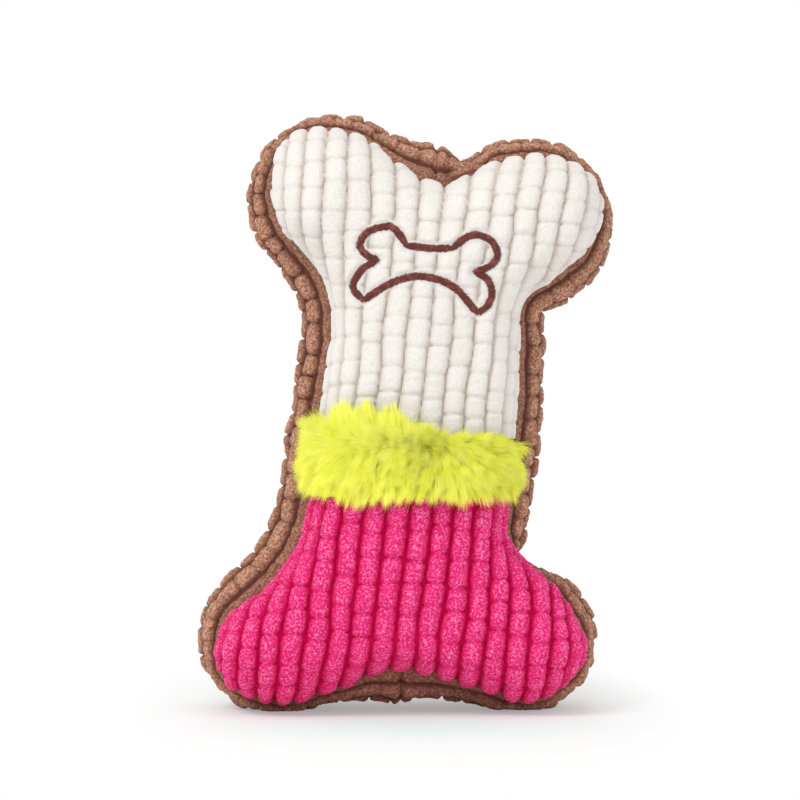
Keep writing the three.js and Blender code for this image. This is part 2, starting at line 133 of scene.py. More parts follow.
# How far points lie inside the outline, its outward direction there, and how far round it they are
def measure(x, z):
    x = x + centreX
    inset = np.full(x.shape, 60.0)
    outX, outZ, run = np.zeros(x.shape), np.ones(x.shape), np.zeros(x.shape)
    for arc in arcs:
        cx, cz, r = arc["circle"]
        dx, dz = x - cx, z - cz
        reach = np.maximum(np.hypot(dx, dz), 1e-6)
        turn = ((arc["start"] - np.arctan2(dz, dx)) * arc["sign"]) % (2 * math.pi)
        depth = arc["sign"] * (r - reach)
        near = (turn <= arc["sweep"] + 1e-4) & (np.abs(depth) < np.abs(inset))
        inset = np.where(near, depth, inset)
        outX = np.where(near, arc["sign"] * dx / reach, outX)
        outZ = np.where(near, arc["sign"] * dz / reach, outZ)
        run = np.where(near, arc["run"] + turn * r, run)
    return inset, outX, outZ, run


# Where the cloth panels meet the gusset, inside the outline: arc number and share along it, inset in mm
rimPoints = [
    (0.02, 6.0), (0.24, 7.9), (0.38, 10.0), (0.5, 11.0), (0.6, 11.2), (0.72, 7.9), (0.93, 5.5), (1.07, 6.2),
    (1.18, 5.2), (1.28, 3.7), (1.37, 2.6), (1.44, 2.2), (1.51, 3.1), (1.7, 7.7), (1.87, 11.1), (2.1, 9.4),
    (2.8, 9.4), (3.5, 9.4), (3.84, 9.2), (3.98, 7.8), (4.18, 3.7), (4.54, 1.2), (4.97, 1.6), (5.08, 4.0),
    (5.23, 6.4), (5.32, 5.6), (5.43, 4.2), (5.52, 4.8), (5.64, 5.9), (5.75, 6.2), (5.91, 5.2), (6.02, 6.0),
    (6.24, 6.7), (6.33, 8.4), (6.5, 10.2), (6.59, 9.6), (6.69, 7.6), (6.79, 5.2), (7.04, 4.6), (7.15, 5.6),
    (7.29, 5.2), (7.4, 3.9), (7.48, 4.6), (7.62, 5.6), (7.71, 7.6), (7.97, 10.4), (8.22, 10.8), (8.51, 11.2),
    (8.76, 10.6), (9.5, 9.5), (10.2, 9.8), (10.5, 10.2), (10.85, 10.2), (11.08, 10.0), (11.26, 8.6), (11.39, 6.6),
    (11.52, 3.6), (11.6, 2.2), (11.69, 3.4), (11.85, 5.4),
]


def arcRun(place):
    arc = arcs[int(place)]
    return arc["run"] + (place - int(place)) * arc["sweep"] * arc["circle"][2]


# A value given at places on the outline, read off anywhere along it
def alongEdge(run, pairs):
    return np.interp(run, [arcRun(place) for place, _ in pairs], [value for _, value in pairs], period=perimeter)


def rimInset(run):
    return alongEdge(run, rimPoints)


def easeStep(low, high, value):
    t = np.clip((value - low) / (high - low), 0, 1)
    return t * t * (3 - 2 * t)


# Slow unevenness of stuffed cloth, from a few plane waves
def ripple(x, z, size, seed):
    rng = np.random.default_rng(seed)
    total = np.zeros(x.shape)
    for _ in range(7):
        angle, phase = rng.uniform(0, 2 * math.pi, 2)
        pace = 2 * math.pi / (size * rng.uniform(0.7, 1.5))
        total += np.sin((x * math.cos(angle) + z * math.sin(angle)) * pace + phase)
    return total / 7


# A number between 0 and 1 for each tuft of the cloth
def tuftChance(i, j, seed):
    mixed = np.sin(i * 12.9898 + j * 78.233 + seed * 37.719) * 43758.5453
    return mixed - np.floor(mixed)


def bodyMiddle(z):
    lean = (math.tan(math.radians(-bone["rightSide"]["lean"])) + math.tan(math.radians(bone["leftSide"]["lean"]))) / 2
    return (bone["rightSide"]["x"] + bone["leftSide"]["x"]) / 2 - centreX + lean * (z - bone["waist"])


# Distance from the middle line across the cords, which lean outwards over the upper lobes
def cordPlace(x, z):
    off = x - bodyMiddle(z)
    lean = 0.1 * easeStep(-5, 60, off) - 0.06 * easeStep(0, 40, -off)
    return off - lean * np.maximum(z - bone["neck"], 0)


# Rise of the crown over the middle of a stuffed panel
def swell(inset):
    return bone["ridgeRise"] * easeStep(15, 42, inset)


# Lengths along the quarter ellipse of a panel's side, by the angle up from its seam
crownAngles = np.linspace(0, math.pi / 2, 91)


def crownLengths(run, crown):
    pace = np.hypot(run * np.sin(crownAngles), crown * np.cos(crownAngles))
    steps = (pace[1:] + pace[:-1]) / 2 * np.diff(crownAngles)
    return np.concatenate([[0], np.cumsum(steps)])


# Point and outward direction of the front crown over x and z, in mm
def frontPoint(x, z):
    inset, outX, outZ, run = measure(x, z)
    rim = rimInset(run)
    width = bone["gussetBulge"] + bone["crownRun"] - rim
    q = np.clip((rim + width - inset) / width, 0, 0.995)
    v = np.sqrt(1 - q * q)
    y = frontSeam - bone["frontCrown"] * v - swell(inset)
    side, face = q / width, v / bone["frontCrown"]
    long = np.hypot(side, face)
    normal = np.stack([outX * side / long, -face / long, outZ * side / long], axis=-1)
    return np.stack([x, y, z], axis=-1), normal


def deselect():
    if bpy.context.object and bpy.context.object.mode != "OBJECT":
        bpy.ops.object.mode_set(mode="OBJECT")
    bpy.ops.object.select_all(action="DESELECT")


def pick(obj):
    deselect()
    obj.select_set(True)
    bpy.context.view_layer.objects.active = obj


# A free copy of a CAD node with its loose triangles joined
def copyNode(node, name):
    pick(frame["nodes"][node])
    bpy.ops.object.duplicate()
    copy = bpy.context.object
    bpy.ops.object.parent_clear(type="CLEAR_KEEP_TRANSFORM")
    copy.name = name
    copy.data.name = name
    copy.data.materials.clear()
    bpy.ops.object.mode_set(mode="EDIT")
    bpy.ops.mesh.select_all(action="SELECT")
    bpy.ops.mesh.remove_doubles(threshold=1e-6)
    bpy.ops.object.mode_set(mode="OBJECT")
    return copy


def voxelRemesh(obj, size):
    pick(obj)
    remesh = obj.modifiers.new("even", "REMESH")
    remesh.mode = "VOXEL"
    remesh.voxel_size = size * mm
    remesh.use_smooth_shade = True
    bpy.ops.object.modifier_apply(modifier="even")


# Short uneven pile, raised by a clouds texture
def raisePile(obj, height, size):
    pick(obj)
    clouds = bpy.data.textures.new(obj.name + "_pile", "CLOUDS")
    clouds.noise_scale = size * mm
    clouds.noise_depth = 1
    pile = obj.modifiers.new("pile", "DISPLACE")
    pile.texture = clouds
    pile.texture_coords = "LOCAL"
    pile.strength = height * mm
    pile.mid_level = 0.5
    bpy.ops.object.modifier_apply(modifier="pile")
    points, _ = readPoints(obj)
    points[:, 2] = np.maximum(points[:, 2], 0.0)
    writePoints(obj, points)


def readPoints(obj):
    count = len(obj.data.vertices)
    points = np.empty(count * 3, np.float32)
    normals = np.empty(count * 3, np.float32)
    obj.data.vertices.foreach_get("co", points)
    obj.data.vertex_normals.foreach_get("vector", normals)
    return points.reshape(-1, 3).astype(float) / mm, normals.reshape(-1, 3).astype(float)


def writePoints(obj, points):
    obj.data.vertices.foreach_set("co", (points * mm).astype(np.float32).ravel())
    obj.data.update()


def writeValue(obj, name, values):
    attribute = obj.data.attributes.new(name, "FLOAT", "POINT")
    attribute.data.foreach_set("value", values.astype(np.float32))


# Rounded tufts of a corded plush: across is counted in wales, along in tufts
def tufts(across, along, cloth, seed, crossing=1.0):
    wale = np.floor(across)
    along = along + cloth["stagger"] * (tuftChance(wale, 0, seed) - 0.5)
    along = along + 0.1 * np.sin(2 * math.pi * (0.37 * along + tuftChance(wale, 5, seed)))
    tuft = np.floor(along)
    t = (2 * (across - wale) - 1) / (1 - cloth["gap"])
    c = 2 * (along - tuft) - 1
    notch = cloth["crossShare"] * crossing * (1 - cloth["crossVary"] * tuftChance(wale, np.round(along), seed + 2))
    height = np.sqrt(np.clip(1 - np.abs(t) ** cloth["cordPower"] - notch * np.abs(c) ** cloth["tuftPower"], 0, 1))
    chance = tuftChance(wale, tuft, seed + 1) - 0.5
    return height, height * chance


print("outline helpers ready")


# Shader helper: a wire is one socket's value, and sums on wires add Math nodes
class Wire:
    def __init__(self, tree, socket=None):
        self.tree = tree
        self.socket = socket

    def node(self, kind, settings, sockets, out=0):
        made = self.tree.nodes.new(kind)
        for key, value in settings.items():
            setattr(made, key, value)
        for key, value in sockets.items():
            if isinstance(value, Wire):
                self.tree.links.new(value.socket, made.inputs[key])
            else:
                made.inputs[key].default_value = value
        return Wire(self.tree, made.outputs[out] if made.outputs else None)

    def sum(self, operation, first, second):
        return self.node("ShaderNodeMath", {"operation": operation}, {0: first, 1: second})

    def __add__(self, other):
        return self.sum("ADD", self, other)

    def __mul__(self, other):
        return self.sum("MULTIPLY", self, other)

    def __sub__(self, other):
        return self.sum("SUBTRACT", self, other)

    def __rsub__(self, other):
        return self.sum("SUBTRACT", other, self)

    __radd__ = __add__
    __rmul__ = __mul__

    def between(self, low, high):
        return self.node("ShaderNodeMapRange", {"clamp": True}, {0: self, 1: low, 2: high})

    # Colour a where this wire is 0, colour b where it is 1
    def mix(self, a, b):
        return self.node("ShaderNodeMix", {"data_type": "RGBA"}, {0: self, 6: a, 7: b}, out=2)


def paint(red, green, blue):
    parts = [value / 255 for value in (red, green, blue)]
    return tuple(p / 12.92 if p < 0.04045 else ((p + 0.055) / 1.055) ** 2.4 for p in parts) + (1.0,)


def startMaterial(name):
    material = bpy.data.materials.new(name)
    material.use_nodes = True
    tree = material.node_tree
    tree.nodes.clear()
    return material, Wire(tree)


def surface(wire, sockets):
    shader = wire.node("ShaderNodeBsdfPrincipled", {}, sockets)
    wire.node("ShaderNodeOutputMaterial", {}, {"Surface": shader})


def place(wire):
    return wire.node("ShaderNodeTexCoord", {}, {}, out=3)


def noise(wire, where, perMetre, detail=2.0):
    return wire.node("ShaderNodeTexNoise", {}, {"Vector": where, "Scale": perMetre, "Detail": detail})


# Corded plush: the tufts' tops, the ground cloth in the grooves painted darker as shade, painted highlights on the
# tops, and a short speckled pile
def plushMaterial(name, look):
    material, wire = startMaterial(name)
    where = place(wire)
    ridge = wire.node("ShaderNodeAttribute", {"attribute_name": "ridge"}, {}, out=2)
    pile = noise(wire, where, look["pilePerMetre"], 3.0)
    patch = noise(wire, where, look["patchPerMetre"], 2.0)
    top = ridge.between(look["grooveTo"], 1.0)
    # Painted shade: the groove colour, darker than the tops, fills the low parts that the ridge attribute marks
    cloth = top.mix(look["groove"], look["top"])
    # Painted highlight: light-coloured flecks on the tufts' tops, as strong as glint sets
    cloth = (pile.between(0.5, 0.72) * look["glint"] * top).mix(cloth, look["light"])
    cloth = ((1 - pile).between(0.5, 0.72) * look["speckle"]).mix(cloth, look["dark"])
    cloth = (patch.between(0.42, 0.68) * look["patch"]).mix(cloth, look["dark"])
    bump = wire.node("ShaderNodeBump", {}, {"Strength": look["bump"], "Distance": 0.0005, "Height": pile})
    surface(wire, {
        "Base Color": cloth, "Roughness": 0.95, "Normal": bump, "Specular IOR Level": 0.2,
        "Sheen Weight": look["sheen"], "Sheen Roughness": 0.5, "Sheen Tint": look["light"],
    })
    return material


# Cloth looks: groove is the ground cloth's colour darkened as painted shade, and light with glint gives painted
# highlights on the tufts' tops
whitePlush = {
    "pitch": 7.4, "row": 8.4, "depth": 2.4, "lift": 0.8, "cordPower": 2.6, "tuftPower": 6.0, "crossShare": 0.58,
    "crossVary": 0.4, "gap": 0.03, "stagger": 0.9, "uneven": 0.9, "pileHeight": 0.4, "pileSize": 1.3,
    "top": paint(236, 231, 226), "light": paint(246, 243, 240), "dark": paint(212, 203, 195),
    "groove": paint(220, 212, 204), "grooveTo": 0.35, "glint": 0.5, "speckle": 0.4, "patch": 0.12,
    "pilePerMetre": 1500.0, "patchPerMetre": 90.0, "bump": 0.4, "sheen": 0.05,
}
pinkPlush = {
    "pitch": 7.5, "row": 9.0, "depth": 3.0, "lift": 0.9, "cordPower": 2.4, "tuftPower": 6.0, "crossShare": 0.68,
    "crossVary": 0.5, "gap": 0.09, "stagger": 0.6, "uneven": 0.9, "pileHeight": 0.8, "pileSize": 1.0,
    "top": paint(243, 52, 132), "light": paint(255, 160, 200), "dark": paint(204, 10, 88),
    "groove": paint(214, 0, 92), "grooveTo": 0.3, "glint": 0.85, "speckle": 0.9, "patch": 0.12,
    "pilePerMetre": 1300.0, "patchPerMetre": 90.0, "bump": 0.9, "sheen": 0.05,
}
brownPlush = {
    "pitch": 7.4, "row": 8.3, "depth": 2.6, "lift": 0.8, "cordPower": 2.4, "tuftPower": 6.0, "crossShare": 1.0,
    "crossVary": 0.25, "gap": 0.08, "stagger": 0.8, "uneven": 0.9, "pileHeight": 0.6, "pileSize": 1.3,
    "top": paint(182, 131, 105), "light": paint(232, 188, 164), "dark": paint(104, 64, 52),
    "groove": paint(114, 71, 58), "grooveTo": 0.35, "glint": 0.9, "speckle": 0.85, "patch": 0.2,
    "pilePerMetre": 1200.0, "patchPerMetre": 70.0, "bump": 0.7, "sheen": 0.1,
}


# The embroidered bone: smooth runs between sharp corners, in mm on the body's outline
motif = {
    "runs": [
        [(1.5, 157.1), (9.0, 156.1), (16.6, 156.0)],
        [(16.6, 156.0), (23.3, 160.4), (29.6, 158.6), (31.8, 153.3), (28.6, 149.7), (24.2, 148.4)],
        [(24.2, 148.4), (28.5, 145.7), (30.1, 141.2), (28.6, 137.1), (25.2, 134.6)],
        [(25.2, 134.6), (17.1, 143.4), (6.7, 146.8), (-2.8, 144.8), (-12.7, 138.8)],
        [(-12.7, 138.8), (-15.7, 142.4), (-15.4, 145.4), (-12.2, 149.7), (-7.6, 152.1)],
        [(-7.6, 152.1), (-11.1, 153.6), (-13.7, 157.0), (-10.9, 161.5), (-4.1, 163.3), (-0.8, 160.9), (1.5, 157.1)],
    ],
    "width": 2.5, "step": 0.4, "slant": 0.5, "threadRadius": 0.24, "rise": 0.55, "arcPoints": 6, "sides": 5, "seed": 5,
    "thread": paint(124, 54, 44), "light": paint(168, 92, 78), "dark": paint(84, 32, 26),
}


# A smooth curve through the points of one run, in steps of about a tenth of a millimetre
def smoothRun(points):
    held = [points[0]] + list(points) + [points[-1]]
    held[0] = tuple(2 * a - b for a, b in zip(points[0], points[1]))
    held[-1] = tuple(2 * a - b for a, b in zip(points[-1], points[-2]))
    out = []
    for a, b, c, d in zip(held, held[1:], held[2:], held[3:]):
        count = max(4, round(math.dist(b, c) / 0.1))
        for t in np.arange(count) / count:
            out.append([
                0.5 * (2 * q + (r - p) * t + (2 * p - 5 * q + 4 * r - s) * t ** 2 + (3 * q - p - 3 * r + s) * t ** 3)
                for p, q, r, s in zip(a, b, c, d)
            ])
    return out


motifLine = np.array([point for points in motif["runs"] for point in smoothRun(points)]) - (centreX, 0)
motifTree = kdtree.KDTree(len(motifLine))
for number, (x, z) in enumerate(motifLine):
    motifTree.insert((x, z, 0), number)
motifTree.balance()


def motifDistance(x, z):
    lowX, lowZ = motifLine.min(axis=0) - 5
    highX, highZ = motifLine.max(axis=0) + 5
    away = np.full(x.shape, 99.0)
    for k in np.nonzero((x > lowX) & (x < highX) & (z > lowZ) & (z < highZ))[0]:
        away[k] = motifTree.find((x[k], z[k], 0))[2]
    return away


# Where the points of a panel lie on its stuffed crown, which starts at the inset rim
def fitCrown(points, form, rim):
    x, y, z = points.T
    inset, outX, outZ, run = measure(x, z)
    facing, crown, solidRun = form["facing"], form["crown"], bone["crownRun"]
    side = np.clip((bone["gussetBulge"] + solidRun - inset) / solidRun, 0, 1.4)
    high = np.clip((facing * (y - form["seam"]) - swell(inset)) / crown, 0, 1.4)
    grow = np.maximum(np.hypot(side, high), 1e-6)
    q, v = side / grow, high / grow
    rim = rimInset(run) if rim is None else np.full(x.shape, rim)
    width = bone["gussetBulge"] + solidRun - rim
    long = np.hypot(q / width, v / crown)
    outward = np.stack([outX * q / width, facing * v / crown, outZ * q / width], axis=-1) / long[:, None]
    depth = np.where(q > 1e-6, rim + width * (1 - q), inset)
    laid = np.stack([
        x + outX * (inset - depth), form["seam"] + facing * (crown * v + swell(depth)), z + outZ * (inset - depth),
    ], axis=-1)
    drawn = (bone["gussetBulge"] - rim) * np.minimum(side, 1)
    climbed = np.interp(np.arctan2(v, q), crownAngles, crownLengths(solidRun, crown))
    return {"laid": laid, "outward": outward, "outX": outX, "outZ": outZ, "run": run, "q": q, "drawn": drawn,
            "climbed": climbed}


# Splits the long edges of a solid in halves until none is longer than the given length
def splitLong(obj, longest):
    pick(obj)
    bpy.ops.object.mode_set(mode="EDIT")
    bpy.ops.mesh.select_mode(type="EDGE")
    bpy.ops.mesh.select_all(action="DESELECT")
    bpy.ops.object.mode_set(mode="OBJECT")
    for _ in range(8):
        points, _ = readPoints(obj)
        ends = np.empty(len(obj.data.edges) * 2, np.int32)
        obj.data.edges.foreach_get("vertices", ends)
        first, last = points[ends[0::2]], points[ends[1::2]]
        long = np.linalg.norm(last - first, axis=1) > longest
        if not long.any():
            break
        obj.data.edges.foreach_set("select", long)
        bpy.ops.object.mode_set(mode="EDIT")
        bpy.ops.mesh.subdivide(number_cuts=1)
        bpy.ops.mesh.select_all(action="DESELECT")
        bpy.ops.object.mode_set(mode="OBJECT")


# Closes the grooves of the solid, so that the remeshed cloth is even
def closeGrooves(obj, form):
    splitLong(obj, 3.0)
    points, normals = readPoints(obj)
    fit = fitCrown(points, form, bone["gussetBulge"])
    facing = (normals * fit["outward"]).sum(axis=1)[:, None]
    points = np.where(facing > 0.05, fit["laid"], points)
    writePoints(obj, points - fit["outward"] * np.where(facing < -0.3, 0.8, 0))


# Keeps what lies under a panel well below its crown and inside the strip, at rest and squeezed
def tuckUnder(points, form, depth):
    x, y, z = points.T
    inset, outX, outZ, run = measure(x, z)
    facing, crown = form["facing"], form["crown"]
    rim = rimInset(run)
    width = bone["gussetBulge"] + bone["crownRun"] - rim
    side = np.maximum((rim + width - inset) / width, 0)
    high = np.maximum((facing * (y - form["seam"]) - swell(inset)) / crown, 0)
    share = np.minimum((1 - depth / crown) / np.maximum(np.hypot(side, high), 1e-6), 1)
    squeezedY = form["seam"] + (y - form["seam"]) * form["keep"]
    across = np.minimum(np.maximum(np.abs(y - middleY), np.abs(squeezedY - middleY)) * 2 / bone["gussetDepth"], 1)
    strip = np.maximum(rim * across ** gusset["profilePower"] + depth - inset, 0)
    inward = np.where(facing * (y - form["seam"]) > 0, width * side * (1 - share), strip)
    lower = facing * crown * high * (1 - share)
    return points - np.stack([outX * inward, lower, outZ * inward], axis=-1)


# Share of the side wall's cloth that crowds into the front view: all of it at the waist, less round the lobes
crowdPoints = [(0.5, 0.35), (1.5, 0.5), (2.5, 0.9), (3.5, 1.0), (4.5, 0.9), (5.5, 0.55), (6.5, 0.35), (7.5, 0.55),
               (8.5, 0.9), (9.5, 1.0), (10.5, 0.9), (11.5, 0.4)]


# Lays a remeshed panel on its crown and raises its cords and tufts
def shapePanel(obj, form, cloth):
    points, normals = readPoints(obj)
    fit = fitCrown(points, form, None)
    outX, outZ, outward, climbed = fit["outX"], fit["outZ"], fit["outward"], fit["climbed"]
    cover = easeStep(0.15, 0.6, (normals * outward).sum(axis=1))
    newX, _, newZ = fit["laid"].T
    points = points + np.stack([outX * fit["drawn"], 0 * outX, outZ * fit["drawn"]], axis=-1)
    # Cloth coordinates: the side wall laid out flat beyond the shoulder
    wall = crownLengths(bone["crownRun"], form["crown"])[-1]
    spare = np.maximum(wall - climbed - bone["crownRun"] * fit["q"], 0) * alongEdge(fit["run"], crowdPoints)
    flatX = newX + outX * spare
    flatZ = newZ + outZ * spare
    flatX = flatX + cloth["uneven"] * ripple(flatX, flatZ, 26, form["seed"])
    flatZ = flatZ + cloth["uneven"] * ripple(flatX, flatZ, 22, form["seed"] + 1)
    ridge, chance = tufts(cordPlace(flatX, flatZ) / cloth["pitch"], flatZ / cloth["row"], cloth, form["seed"])
    raised = cloth["lift"] * (1 + 0.4 * fit["q"]) - cloth["depth"] * (1 - ridge) + 0.5 * chance
    raised += 0.45 * ripple(newX, newZ, 30, form["seed"] + 2)
    raised -= form["pinch"] * (1.6 - 1.2 * ridge) * np.exp(-climbed / 1.3)
    if form["motif"]:
        sunk = easeStep(2.6, 1.3, motifDistance(newX, newZ))
        raised = raised * (1 - sunk) - 0.25 * sunk
    shaped = fit["laid"] + outward * raised[:, None]
    points = points + (shaped - points) * cover[:, None]
    points[:, 2] = np.maximum(points[:, 2], 0.05)
    writePoints(obj, points)
    writeValue(obj, "ridge", ridge)


squeezeStop = next(j for j in frame["joints"] if j["name"] == "squeeze")["range_m"][1]
squeezeKeep = 1 - squeezeStop / ((frontReach - bone["furLoft"] - bone["gussetDepth"] / 2) * mm)
frontForm = {
    "seam": frontSeam, "facing": -1, "crown": bone["frontCrown"], "pinch": 0.9, "motif": False, "seed": 11,
    "keep": squeezeKeep, "voxel": 0.565,
}
backForm = {
    "seam": backSeam, "facing": 1, "crown": bone["backCrown"], "pinch": 0.9, "motif": False, "seed": 41,
    "keep": 1.0, "voxel": 0.77,
}


# Pieces of the front are sewn to the shell
def sewToFront(obj):
    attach(obj, "shell")
    frontSeam * mm
    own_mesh(obj)


def makeFrontPanel(node, name, cloth, material, motifHere, seed):
    panel = copyNode(node, name)
    closeGrooves(panel, frontForm)
    voxelRemesh(panel, frontForm["voxel"])
    shapePanel(panel, {**frontForm, "motif": motifHere, "seed": seed}, cloth)
    raisePile(panel, cloth["pileHeight"], cloth["pileSize"])
    panel.data.materials.append(material)
    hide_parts(node)
    sewToFront(panel)
    print(name, len(panel.data.polygons), "faces")


whiteMaterial = plushMaterial("white_corded_plush", whitePlush)
pinkMaterial = plushMaterial("pink_corded_plush", pinkPlush)
brownMaterial = plushMaterial("brown_corded_plush", brownPlush)
makeFrontPanel("front_upper_panel", "white_panel", whitePlush, whiteMaterial, True, 11)
makeFrontPanel("front_lower_panel", "pink_panel", pinkPlush, pinkMaterial, False, 23)


def makeBackPanel():
    panel = copyNode("back_panel", "brown_back")
    closeGrooves(panel, backForm)
    voxelRemesh(panel, backForm["voxel"])
    shapePanel(panel, backForm, brownPlush)
    raisePile(panel, brownPlush["pileHeight"], brownPlush["pileSize"])
    panel.data.materials.append(brownMaterial)
    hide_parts("back_panel")
    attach(panel, "shell")
    print("brown_back", len(panel.data.polygons), "faces")


makeBackPanel()


# The gusset strip round the edge: three full cords and a narrow one against each seam
gusset = {
    "pitch": 7.4, "voxel": 0.55, "profilePower": 2.1, "meanRim": 7.5, "pinch": 1.2, "flatFrom": 11.1, "seed": 57,
    "foldRise": 2.4, "foldReach": 9.0, "foldDip": 1.4, "foldWidth": 1.0, "lap": 0.35,
    "dents": [(0.7, 5.5, 4.4), (4.5, 4.5, 3.0)],  # place on the outline, reach and depth
}
notchRuns = (arcRun(0.5), arcRun(6.5))

# How clearly the cords beside the middle one are parted into blocks: most at the waist, least round the feet
blockPoints = [(0.5, 0.6), (1.3, 0.6), (1.6, 0.35), (1.95, 0.45), (2.5, 0.9), (3.5, 1.0), (4.2, 0.9), (5.1, 0.5),
               (5.5, 0.3), (6.5, 0.4), (7.4, 0.3), (7.9, 0.45), (8.4, 0.6), (9.5, 1.0), (10.5, 1.0), (11.5, 0.75)]


def arcPoint(place):
    arc = arcs[int(place)]
    angle = arc["start"] - arc["sign"] * (place - int(place)) * arc["sweep"]
    cx, cz, r = arc["circle"]
    return cx + r * math.cos(angle) - centreX, cz + r * math.sin(angle)


# The strips meet on a line through the notches
def seamX(z):
    return np.where(z > bone["waist"], arcPoint(0.5)[0], arcPoint(6.5)[0])


def shapeGusset(obj):
    points, normals = readPoints(obj)
    x, y, z = points.T
    _, outX, outZ, run = measure(x, z)
    half = bone["gussetDepth"] / 2
    across = np.clip((y - middleY) / half, -1, 1)
    rim = rimInset(run)
    target = rim * np.abs(across) ** gusset["profilePower"]
    solid = bone["gussetBulge"] * across ** 2
    slope = rim * gusset["profilePower"] * np.abs(across) ** (gusset["profilePower"] - 1) / half
    long = np.hypot(1, slope)
    outward = np.stack([outX / long, np.sign(across) * slope / long, outZ / long], axis=-1)
    cover = easeStep(0.15, 0.6, (normals * outward).sum(axis=1))
    # Length across the strip from its middle
    grid = np.linspace(0, 1, 60)
    rise = gusset["meanRim"] * grid ** gusset["profilePower"]
    lengths = np.concatenate([[0], np.cumsum(np.hypot(np.diff(rise), np.diff(grid) * half))])
    arcAcross = np.sign(across) * np.interp(np.abs(across), grid, lengths)
    tuftCount = round(perimeter / brownPlush["row"])
    along = run / perimeter * tuftCount
    outer = easeStep(3.4, 4.6, np.abs(arcAcross))
    crossing = 1 + (alongEdge(run, blockPoints) - 1) * outer
    crossing = crossing * (1 - 0.75 * easeStep(10.4, 11.6, np.abs(arcAcross)))
    ridge, chance = tufts(arcAcross / gusset["pitch"] + 0.5, along, brownPlush, gusset["seed"], crossing)
    flat = easeStep(gusset["flatFrom"], gusset["flatFrom"] + 2.5, np.abs(arcAcross))
    ridge = ridge * (1 - 0.6 * flat) + 0.3 * flat
    raised = brownPlush["lift"] - brownPlush["depth"] * (1 - ridge) + 0.6 * chance
    raised += 0.9 * ripple(run, arcAcross, 17, gusset["seed"]) + 0.5 * ripple(run, arcAcross, 9, gusset["seed"] + 1)
    for notch in notchRuns:
        away = np.abs((run - notch + perimeter / 2) % perimeter - perimeter / 2)
        raised += gusset["foldRise"] * np.exp(-(away / gusset["foldReach"]) ** 2)
        raised -= gusset["foldDip"] * np.exp(-(away / gusset["foldWidth"]) ** 2)
    for dent, reach, depth in gusset["dents"]:
        raised -= depth * np.exp(-((run - arcRun(dent)) / reach) ** 2)
    raised -= gusset["pinch"] * np.exp(-(lengths[-1] - np.abs(arcAcross)) / 1.3)
    points[:, 0] += outX * (solid - target)
    lapped = np.exp(-((x - seamX(z)) / 0.6) ** 2)
    points[:, 0] += np.sign(seamX(z) - x.mean()) * gusset["lap"] * lapped
    points[:, 2] += outZ * (solid - target)
    points = points + outward * (raised * cover)[:, None]
    points[:, 2] = np.maximum(points[:, 2], 0.0)
    writePoints(obj, points)
    writeValue(obj, "ridge", ridge)


def makeGusset(node, name):
    strip = copyNode(node, name)
    voxelRemesh(strip, gusset["voxel"])
    shapeGusset(strip)
    raisePile(strip, brownPlush["pileHeight"], brownPlush["pileSize"])
    strip.data.materials.append(brownMaterial)
    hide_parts(node)
    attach(strip, "shell")
    print(name, len(strip.data.polygons), "faces")


makeGusset("left_gusset", "brown_strip_left")
makeGusset("right_gusset", "brown_strip_right")


# Satin stitches laid side by side across the motif's line
def makeStitches():
    loop = np.vstack([motifLine, motifLine[:1]])
    lengths = np.concatenate([[0], np.cumsum(np.hypot(*np.diff(loop, axis=0).T))])
    stops = np.arange(0, lengths[-1], motif["step"])
    centre = np.stack([np.interp(stops, lengths, loop[:, k]) for k in (0, 1)], axis=-1)
    ahead = np.roll(centre, -2, axis=0) - np.roll(centre, 2, axis=0)
    ahead /= np.hypot(*ahead.T)[:, None]
    across = np.stack([-ahead[:, 1], ahead[:, 0]], axis=-1)
    # Shorter stitches at the corners, where they would splay
    starts = np.cumsum([0] + [len(smoothRun(points)) for points in motif["runs"]])
    fromCorner = np.abs(stops[:, None] - lengths[starts]).min(axis=1)
    trim = 0.6 + 0.4 * np.minimum(fromCorner / 1.6, 1)
    rng = np.random.default_rng(motif["seed"])
    sides = motif["sides"]
    verts, faces = [], []
    for c, a, w, shorter in zip(centre, ahead, across, trim):
        reach = (motif["width"] / 2 + rng.uniform(-0.15, 0.2)) * shorter
        share = np.linspace(-1, 1, motif["arcPoints"])
        line = c + np.outer(share * reach, w) + np.outer(share * motif["slant"], a)
        ground, normal = frontPoint(line[:, 0], line[:, 1])
        lift = motif["rise"] * np.sqrt(np.clip(1.02 - share ** 2, 0, 1)) - 0.35 + rng.uniform(-0.05, 0.05)
        path = ground + normal * lift[:, None]
        side = np.array([a[0], 0, a[1]])
        first = len(verts)
        for k, point in enumerate(path):
            thick = motif["threadRadius"] * (0.6 if k in (0, motif["arcPoints"] - 1) else 1)
            for turn in np.arange(sides) * 2 * math.pi / sides:
                verts.append(point + thick * (math.cos(turn) * side + math.sin(turn) * normal[k]))
        for k in range(motif["arcPoints"] - 1):
            for s in range(sides):
                a0, a1 = first + k * sides + s, first + k * sides + (s + 1) % sides
                faces.append((a0, a1, a1 + sides, a0 + sides))
        faces.append(tuple(first + s for s in reversed(range(sides))))
        faces.append(tuple(first + (motif["arcPoints"] - 1) * sides + s for s in range(sides)))
    mesh = bpy.data.meshes.new("bone_satin_stitches")
    mesh.from_pydata((np.array(verts) * mm).tolist(), [], faces)
    obj = bpy.data.objects.new("bone_satin_stitches", mesh)
    bpy.context.collection.objects.link(obj)
    pick(obj)
    bpy.ops.object.mode_set(mode="EDIT")
    bpy.ops.mesh.select_all(action="SELECT")
    bpy.ops.mesh.normals_make_consistent(inside=False)
    bpy.ops.object.mode_set(mode="OBJECT")
    bpy.ops.object.shade_smooth()
    return obj


